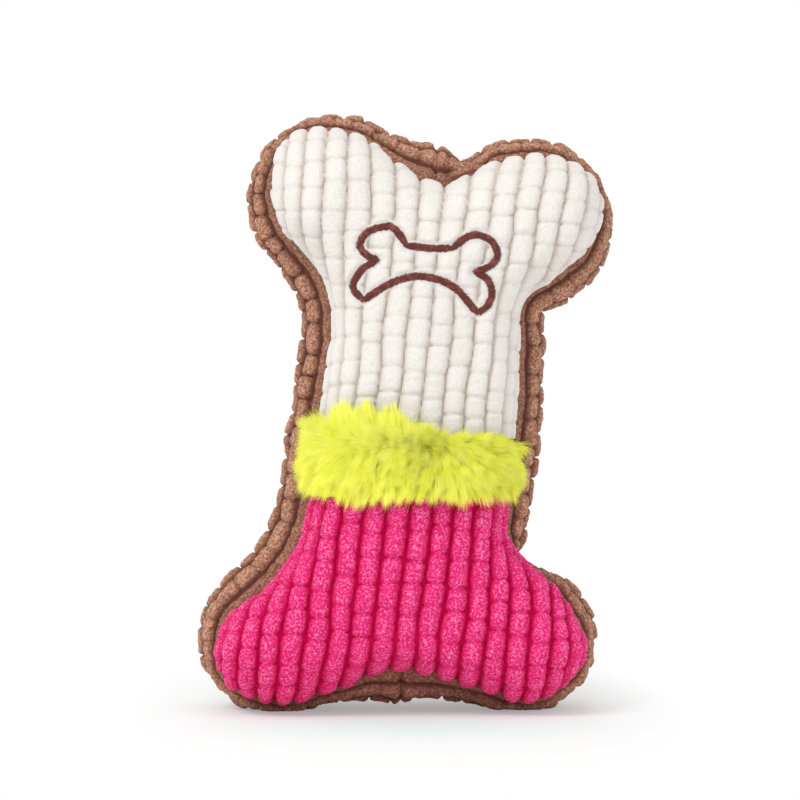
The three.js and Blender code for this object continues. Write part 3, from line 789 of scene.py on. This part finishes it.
def threadMaterial(name, look):
    material, wire = startMaterial(name)
    where = place(wire)
    fibre = noise(wire, where, 2600.0, 2.0)
    tone = noise(wire, where, 500.0, 1.0)
    colour = fibre.between(0.35, 0.7).mix(look["dark"], look["thread"])
    colour = (tone.between(0.5, 0.75) * 0.6).mix(colour, look["light"])
    bump = wire.node("ShaderNodeBump", {}, {"Strength": 0.4, "Distance": 0.0002, "Height": fibre})
    surface(wire, {
        "Base Color": colour, "Roughness": 0.55, "Normal": bump, "Specular IOR Level": 0.35, "Sheen Weight": 0.15,
    })
    return material


stitches = makeStitches()
stitches.data.materials.append(threadMaterial("red_brown_satin_thread", motif))
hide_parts("bone_embroidery")
sewToFront(stitches)
print("embroidery", len(stitches.data.polygons), "faces")


# Long fur of the waist band: a ground cloth and strands in tufts
# The strands' darker root colour stands for painted shade deep in the pile, and light for painted highlights
fur = {
    "strands": 90000, "wallStrands": 18000, "perPiece": 35000, "length": 8.4, "width": 0.19, "joints": 3, "seed": 77,
    "top": 95.0, "topDrop": 6.5, "bottom": 77.8, "clump": 1.3, "gather": 0.5, "endRound": 11.0, "endInset": 3.0,
    "root": paint(214, 224, 14), "tip": paint(254, 254, 66), "light": paint(255, 255, 140),
    "tufts": [(-19.7, 5.2), (-12.9, 5.8), (-5.1, 5.8)], "tuftWidth": 3.0, "ends": (-44.0, 54.0), "groundVoxel": 1.0,
}


def bandTop(x):
    span = bone["rightSide"]["x"] - bone["leftSide"]["x"]
    return fur["top"] - fur["topDrop"] * (x - bodyMiddle(bone["waist"])) / span


def makeFurGround():
    ground = copyNode("front_waist_band", "fur_ground")
    closeGrooves(ground, frontForm)
    voxelRemesh(ground, fur["groundVoxel"])
    points, normals = readPoints(ground)
    fit = fitCrown(points, frontForm, None)
    cover = easeStep(0.15, 0.6, (normals * fit["outward"]).sum(axis=1))[:, None]
    points = points + np.stack([fit["outX"] * fit["drawn"], 0 * fit["drawn"], fit["outZ"] * fit["drawn"]], axis=-1)
    writePoints(ground, points + (fit["laid"] - points) * cover)
    material, wire = startMaterial("fur_ground_cloth")
    knit = noise(wire, place(wire), 900.0, 2.0)
    surface(wire, {
        "Base Color": knit.between(0.35, 0.65).mix(fur["root"], fur["tip"]), "Roughness": 0.95,
    })
    ground.data.materials.append(material)
    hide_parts("front_waist_band")
    sewToFront(ground)


# Roots spread evenly over the band, with more where its sides turn away, and rounded ends
def furRoots(rng):
    x = rng.uniform(*fur["ends"], fur["strands"] * 8)
    share = rng.uniform(0, 1, x.shape)
    z = fur["bottom"] + share * (bandTop(x) - fur["bottom"])
    inset, _, _, run = measure(x, z)
    ground, normal = frontPoint(x, z)
    steep = np.minimum(1 / np.maximum(-normal[:, 1], 0.2), 5) / 5
    fromEnd = inset - rimInset(run) - fur["endInset"]
    half = np.sqrt(np.clip(1 - (1 - np.clip(fromEnd / fur["endRound"], 0, 1)) ** 2, 0, 1))
    corner = np.where(share > 0.5, 0.4, 0.8)
    keep = (fromEnd > 0) & (np.abs(2 * share - 1) < corner + (1 - corner) * half) & (rng.uniform(0, 1, x.shape) < steep)
    chosen = np.nonzero(keep)[0][: fur["strands"]]
    return ground[chosen], normal[chosen], share[chosen]


# Roots on the side wall of the band, from the seam up to its shoulder
def wallRoots(rng, side):
    cx, cz, bow = sideCircle(side)
    share = rng.uniform(0.02, 0.97, fur["wallStrands"])
    z = fur["bottom"] + share * (bandTop(side["x"] - centreX) - fur["bottom"])
    x = cx + side["outward"] * np.sqrt((bow - 12) ** 2 - (z - cz) ** 2) - centreX
    inset, outX, outZ, run = measure(x, z)
    rim = rimInset(run)
    width = bone["gussetBulge"] + bone["crownRun"] - rim
    angle = rng.uniform(0.03, 0.9, share.shape)
    q, v = np.cos(angle), np.sin(angle)
    depth = rim + width * (1 - q)
    y = frontSeam - bone["frontCrown"] * v - swell(depth)
    normal = np.stack([outX * q / width, -v / bone["frontCrown"], outZ * q / width], axis=-1)
    normal /= np.linalg.norm(normal, axis=1)[:, None]
    return np.stack([x + outX * (inset - depth), y, z + outZ * (inset - depth)], axis=-1), normal, share


def makeFur():
    rng = np.random.default_rng(fur["seed"])
    parts = [furRoots(rng), wallRoots(rng, bone["leftSide"]), wallRoots(rng, bone["rightSide"])]
    root, normal, share = (np.concatenate(rows) for rows in zip(*parts))
    order = rng.permutation(len(root))
    root, normal, share = root[order], normal[order], share[order]
    count = len(root)
    x, z = root[:, 0], root[:, 2]
    sideways = (x - bodyMiddle(z)) / 40
    # Lay of the pile: outwards at the ends, down at the lower edge, up at the upper left, a swirl in the middle
    layX = np.where(sideways < 0, 0.95, 0.6) * sideways + 0.45 * ripple(x, z, 22, 3) - 0.1
    layZ = -0.45 + 0.55 * ripple(x, z, 17, 4)
    layZ = layZ + easeStep(0.5, 1.05, share) * (1.0 - 0.6 * sideways) * easeStep(-1.0, -0.5, sideways)
    # The upper right end hangs down, less so at the very top
    hang = easeStep(0.5, 0.9, share) * (1 - 0.75 * easeStep(0.86, 0.95, share)) * easeStep(0.55, 0.95, sideways)
    layZ = layZ - 0.6 * easeStep(0.3, 0.0, share) - 1.1 * hang
    layX += 0.5 * np.exp(-((x - 6) / 12) ** 2) * (share - 0.45)
    lay = np.stack([layX, np.zeros(count), layZ], axis=-1)
    # Neighbours lean together into tufts
    around = x + np.sign(sideways) * np.maximum(root[:, 1] + 31, 0)
    cellX = np.floor((around + 1.0 * ripple(around, z, 8, 5)) / fur["clump"])
    cellZ = np.floor((z + 1.0 * ripple(around, z, 8, 6)) / fur["clump"])
    lean = np.stack([tuftChance(cellX, cellZ, 1) - 0.5, np.zeros(count), tuftChance(cellX, cellZ, 2) - 0.5], axis=-1)
    gather = (cellX + 0.5) * fur["clump"] - around
    toMiddle = np.stack([-normal[:, 1] * gather, normal[:, 0] * gather, (cellZ + 0.5) * fur["clump"] - z], axis=-1)
    lay = lay + 0.35 * lean + rng.normal(0, 0.1, (count, 3))
    lay -= normal * (lay * normal).sum(axis=1)[:, None]
    size = fur["length"] * rng.uniform(0.6, 1.1, count) * (0.75 + 0.5 * tuftChance(cellX, cellZ, 3))
    size *= (1 - 0.6 * easeStep(0.7, 1.0, np.abs(sideways))) * (1 - 0.3 * hang)
    # Three taller tufts stand over the upper edge at the left
    for tuftX, more in fur["tufts"]:
        near = np.exp(-((x - tuftX) / fur["tuftWidth"]) ** 2) * easeStep(0.7, 1.0, share)
        size += (0.7 * fur["length"] - size) * 0.6 * near + more * near
        toMiddle *= 1 - 0.7 * near[:, None]
        lay[:, 0] *= 1 - 0.8 * near
        lay[:, 2] += 0.7 * near
    lift = (0.5 + 0.3 * tuftChance(cellX, cellZ, 4)) * (1 - 0.35 * hang)
    reach = normal * lift[:, None] + lay * 0.9
    reach /= np.linalg.norm(reach, axis=1)[:, None]
    tip = root + reach * size[:, None] + toMiddle * fur["gather"]
    bend = root + normal * (size * 0.5)[:, None]
    steps = np.linspace(0, 1, fur["joints"] + 1)
    path = [root * (1 - t) ** 2 + bend * (2 * t * (1 - t)) + tip * t ** 2 for t in steps]
    flat = np.cross(tip - root, normal)
    flat /= np.maximum(np.linalg.norm(flat, axis=1), 1e-6)[:, None]
    soft = 0.7 * normal + 0.35 * reach + (-0.05, -0.3, 0.45) + rng.normal(0, 0.15, (count, 3))
    soft /= np.linalg.norm(soft, axis=1)[:, None]
    # tone, per strand and per tuft, picks strands for painted highlights and painted shade in the fur colour
    tone = rng.uniform(0, 1, count) * 0.4 + 0.6 * tuftChance(cellX, cellZ, 7)
    return path, flat, soft, tone


def furMaterial():
    material, wire = startMaterial("lime_long_fur")
    along = wire.node("ShaderNodeAttribute", {"attribute_name": "along"}, {}, out=2)
    tone = wire.node("ShaderNodeAttribute", {"attribute_name": "tone"}, {}, out=2)
    # Painted shade: strands darker towards their roots, where the pile shades them
    colour = along.between(0.0, 0.7).mix(fur["root"], fur["tip"])
    # Painted highlight: strands with a high tone lighter, more so towards their tips
    colour = (tone.between(0.4, 1.0) * along * 0.9).mix(colour, fur["light"])
    # Painted shade: strands with a low tone darker, as shade between the tufts
    colour = ((1 - tone).between(0.55, 1.0) * 0.7).mix(colour, fur["root"])
    # Painted highlight: the last part of each strand lighter
    colour = (along.between(0.6, 1.0) * 0.35).mix(colour, fur["light"])
    surface(wire, {
        "Base Color": colour, "Roughness": 0.7, "Specular IOR Level": 0.25, "Sheen Weight": 0.1, "Sheen Roughness": 0.4,
    })
    return material


# Each strand is a flat ribbon that narrows to a point
def furPiece(name, path, flat, soft, tone, material, castsShadow):
    count = len(flat)
    joints = len(path) - 1
    perStrand = 2 * joints + 1
    verts = np.empty((count, perStrand, 3))
    along = np.empty((count, perStrand))
    for k in range(joints):
        half = fur["width"] / 2 * (1 - 0.25 * k)
        verts[:, 2 * k] = path[k] - flat * half
        verts[:, 2 * k + 1] = path[k] + flat * half
        along[:, 2 * k:2 * k + 2] = k / joints
    verts[:, -1] = path[-1]
    along[:, -1] = 1
    first = np.arange(count)[:, None] * perStrand
    quads = [np.array([2 * k, 2 * k + 1, 2 * k + 3, 2 * k + 2]) + first for k in range(joints - 1)]
    ends = np.array([perStrand - 3, perStrand - 2, perStrand - 1]) + first
    faces = [row for group in quads for row in group.tolist()] + ends.tolist()
    mesh = bpy.data.meshes.new(name)
    mesh.from_pydata((verts.reshape(-1, 3) * mm).tolist(), [], faces)
    obj = bpy.data.objects.new(name, mesh)
    bpy.context.collection.objects.link(obj)
    pick(obj)
    bpy.ops.object.shade_smooth()
    mesh.normals_split_custom_set_from_vertices(np.repeat(soft, perStrand, axis=0).tolist())
    writeValue(obj, "along", along.ravel())
    # The tone attribute drives painted highlights and painted shade in the fur colour
    writeValue(obj, "tone", np.repeat(tone, perStrand))
    mesh.materials.append(material)
    obj.visible_shadow = castsShadow  # only for some strands, as thin ones pass most of the light on
    sewToFront(obj)
    print(name, len(mesh.polygons), "faces")


makeFurGround()
path, flat, soft, tone = makeFur()
lime = furMaterial()
for part in range(math.ceil(len(flat) / fur["perPiece"])):
    span = slice(part * fur["perPiece"], (part + 1) * fur["perPiece"])
    furPiece(f"lime_fur_{part + 1}", [p[span] for p in path], flat[span], soft[span], tone[span], lime, part == 0)


# Inside the toy: stuffing, backing, stitching and the squeaker
inside = {
    "fibre": (paint(246, 246, 243), paint(226, 226, 222)),
    "backing": (paint(240, 239, 235), paint(222, 220, 214)),
    "stitching": {"thread": paint(107, 70, 56), "light": paint(140, 98, 80), "dark": paint(72, 44, 36)},
    "bladder": (paint(233, 235, 230), paint(216, 219, 213)),
    "stiff": (paint(217, 219, 214), paint(198, 201, 195)),
    "fillVoxel": 2.5, "fillDepth": 5.5, "seamDepth": 4.4,
}


def clothMaterial(name, colours, perMetre):
    material, wire = startMaterial(name)
    fibres = noise(wire, place(wire), perMetre, 4.0)
    bump = wire.node("ShaderNodeBump", {}, {"Strength": 0.5, "Distance": 0.0006, "Height": fibres})
    surface(wire, {
        "Base Color": fibres.between(0.3, 0.7).mix(colours[1], colours[0]), "Roughness": 0.97, "Normal": bump,
    })
    return material


def plasticMaterial(name, colours, rough):
    material, wire = startMaterial(name)
    clouds = noise(wire, place(wire), 120.0, 2.0)
    grain = noise(wire, place(wire), 2200.0, 2.0)
    bump = wire.node("ShaderNodeBump", {}, {"Strength": 0.1, "Distance": 0.0001, "Height": grain})
    surface(wire, {
        "Base Color": clouds.between(0.35, 0.7).mix(colours[1], colours[0]), "Normal": bump,
        "Roughness": rough + 0.12 * (clouds - 0.5),
    })
    return material


def dressInside():
    fibre = clothMaterial("polyester_fibre", inside["fibre"], 420.0)
    backing = clothMaterial("non_woven_backing", inside["backing"], 900.0)
    thread = threadMaterial("brown_sewing_thread", inside["stitching"])
    for node, name in (("front_fill", "stuffing_front"), ("back_fill", "stuffing_back")):
        fill = copyNode(node, name)
        voxelRemesh(fill, inside["fillVoxel"])
        points, normals = readPoints(fill)
        lumps = 0.6 * ripple(points[:, 0] + points[:, 1], points[:, 2], 9, 91) - 0.8
        form = frontForm if node == "front_fill" else backForm
        writePoints(fill, tuckUnder(points + normals * lumps[:, None], form, inside["fillDepth"]))
        fill.data.materials.append(fibre)
        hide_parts(node)
        if node == "front_fill":
            sewToFront(fill)
        else:
            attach(fill, "shell")
    for node, name in (("embroidery_backing", "motif_backing"), ("upper_band_seam", "band_seam_top"),
                       ("lower_band_seam", "band_seam_bottom")):
        piece = copyNode(node, name)
        splitLong(piece, 3.0)
        writePoints(piece, tuckUnder(readPoints(piece)[0], frontForm, inside["seamDepth"]))
        piece.data.materials.append(backing if node == "embroidery_backing" else thread)
        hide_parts(node)
        sewToFront(piece)
    # The edge seams follow the drawn-in rim of the panels
    for node, name in (("front_edge_seam", "front_edge_stitching"), ("back_edge_seam", "back_edge_stitching")):
        seam = copyNode(node, name)
        points, _ = readPoints(seam)
        _, outX, outZ, run = measure(points[:, 0], points[:, 2])
        shift = bone["gussetBulge"] - rimInset(run) - 0.6
        points[:, 0] += outX * shift
        points[:, 2] += outZ * shift
        writePoints(seam, points)
        seam.data.materials.append(thread)
        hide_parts(node)
        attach(seam, "shell")
    bladder = plasticMaterial("squeaker_soft_plastic", inside["bladder"], 0.5)
    stiff = plasticMaterial("squeaker_stiff_plastic", inside["stiff"], 0.38)
    shown = {
        "top_gusset_seam": thread, "bottom_gusset_seam": thread, "closing_stitches": thread,
        "squeaker_bladder": bladder, "squeaker_reed_holder": stiff, "squeaker_reed": stiff,
        "squeaker_reed_clamp": stiff,
    }
    for node, material in shown.items():
        mesh = frame["nodes"][node].data
        mesh.materials.clear()
        mesh.materials.append(material)


dressInside()
print("inside dressed")


# Floor, light and camera
# nearFloor is a painted cyan-green tint that offsets the pink light the toy bounces onto the floor near it
studio = {
    "floorSize": 6.0, "floor": paint(248, 249, 249), "nearFloor": paint(222, 250, 245),
    "nearShape": (0.75, 1.0, 1.0), "nearForward": 0.05, "nearFrom": 0.015, "nearTo": 0.06,
    "fadeShape": (1.5, 0.55, 1.0), "fadeFrom": 0.09, "fadeTo": 0.14, "paleFloor": 0.3,
    "skyLight": 0.76, "keyPower": 14.8, "keySize": 0.8, "keyPlace": (-1.0, -1.0, 1.45),
    "fillPower": 4.2, "fillSize": 1.4, "fillPlace": (1.3, -1.2, 0.7),
    "azimuth": -1.5, "elevation": 2.5, "distance": 1.7, "viewWidth": 0.2698, "aim": (-1.8, 104.4),
}


# Distance on the floor from a point so far in front of the middle, with x and y scaled
def distanceFrom(wire, shape, forward):
    scaled = wire.node("ShaderNodeVectorMath", {"operation": "MULTIPLY_ADD"}, {
        0: place(wire), 1: shape, 2: (0, forward, 0),
    })
    return wire.node("ShaderNodeVectorMath", {"operation": "LENGTH"}, {0: scaled}, out=1)


def makeFloor():
    deselect()
    bpy.ops.mesh.primitive_plane_add(size=studio["floorSize"], location=(0, 0, 0))
    floor = bpy.context.object
    floor.name = "floor"
    material, wire = startMaterial("pale_floor")
    spread = distanceFrom(wire, studio["fadeShape"], 0)
    seen = wire.node("ShaderNodeLightPath", {}, {})
    pale = studio["paleFloor"]
    # Painted light: to the camera the floor glows white in part, by paleFloor near the toy and fully far off, which
    # lightens the toy's shadow on it
    fade = (pale + (1 - pale) * spread.between(studio["fadeFrom"], studio["fadeTo"])) * seen
    # Seen from the camera only, the floor close to the toy is painted cyan-green against the pink light bounced onto it
    away = distanceFrom(wire, studio["nearShape"], studio["nearForward"])
    near = (1 - away.between(studio["nearFrom"], studio["nearTo"])) * seen
    shader = wire.node("ShaderNodeBsdfPrincipled", {}, {
        "Base Color": near.mix(studio["floor"], studio["nearFloor"]), "Roughness": 0.9, "Specular IOR Level": 0.1,
    })
    glow = wire.node("ShaderNodeEmission", {}, {"Color": (1, 1, 1, 1), "Strength": 1.0})
    both = wire.node("ShaderNodeMixShader", {}, {0: fade, 1: shader, 2: glow})
    wire.node("ShaderNodeOutputMaterial", {}, {"Surface": both})
    floor.data.materials.append(material)


def makeSky():
    world = bpy.data.worlds.new("white_studio")
    bpy.context.scene.world = world
    world.use_nodes = True
    world.node_tree.nodes.clear()
    wire = Wire(world.node_tree)
    seen = wire.node("ShaderNodeLightPath", {}, {})
    mirrored = wire.node("ShaderNodeLightPath", {}, {}, out=3)
    through = wire.node("ShaderNodeLightPath", {}, {}, out=6)
    shown = wire.sum("MAXIMUM", wire.sum("MAXIMUM", seen, mirrored), through)
    light = wire.node("ShaderNodeBackground", {}, {"Color": (1, 1, 1, 1), "Strength": studio["skyLight"]})
    white = wire.node("ShaderNodeBackground", {}, {"Color": (1, 1, 1, 1), "Strength": 1.0})
    both = wire.node("ShaderNodeMixShader", {}, {0: shown, 1: light, 2: white})
    wire.node("ShaderNodeOutputWorld", {}, {"Surface": both})


def makeLamp(name, where, power, size):
    deselect()
    bpy.ops.object.light_add(type="AREA", location=where)
    lamp = bpy.context.object
    lamp.name = name
    lamp.data.energy = power
    lamp.data.size = size
    toward = Vector((0, 0, 0.1)) - Vector(where)
    lamp.rotation_euler = toward.to_track_quat("-Z", "Y").to_euler()


def makeCamera():
    x, z = studio["aim"]
    target = Vector((x, middleY, z)) * mm
    turn, tilt = math.radians(studio["azimuth"]), math.radians(studio["elevation"])
    away = Vector((math.sin(turn) * math.cos(tilt), -math.cos(turn) * math.cos(tilt), math.sin(tilt)))
    deselect()
    bpy.ops.object.camera_add(location=target + away * studio["distance"])
    camera = bpy.context.object
    camera.rotation_euler = (-away).to_track_quat("-Z", "Y").to_euler()
    camera.data.sensor_width = 36
    camera.data.lens = 36 * studio["distance"] / studio["viewWidth"]
    camera.data.clip_end = 20
    bpy.context.scene.camera = camera


makeFloor()
makeSky()
makeLamp("key_light", studio["keyPlace"], studio["keyPower"], studio["keySize"])
makeLamp("fill_light", studio["fillPlace"], studio["fillPower"], studio["fillSize"])
makeCamera()
bpy.context.scene.view_settings.view_transform = "Standard"
print("studio ready")
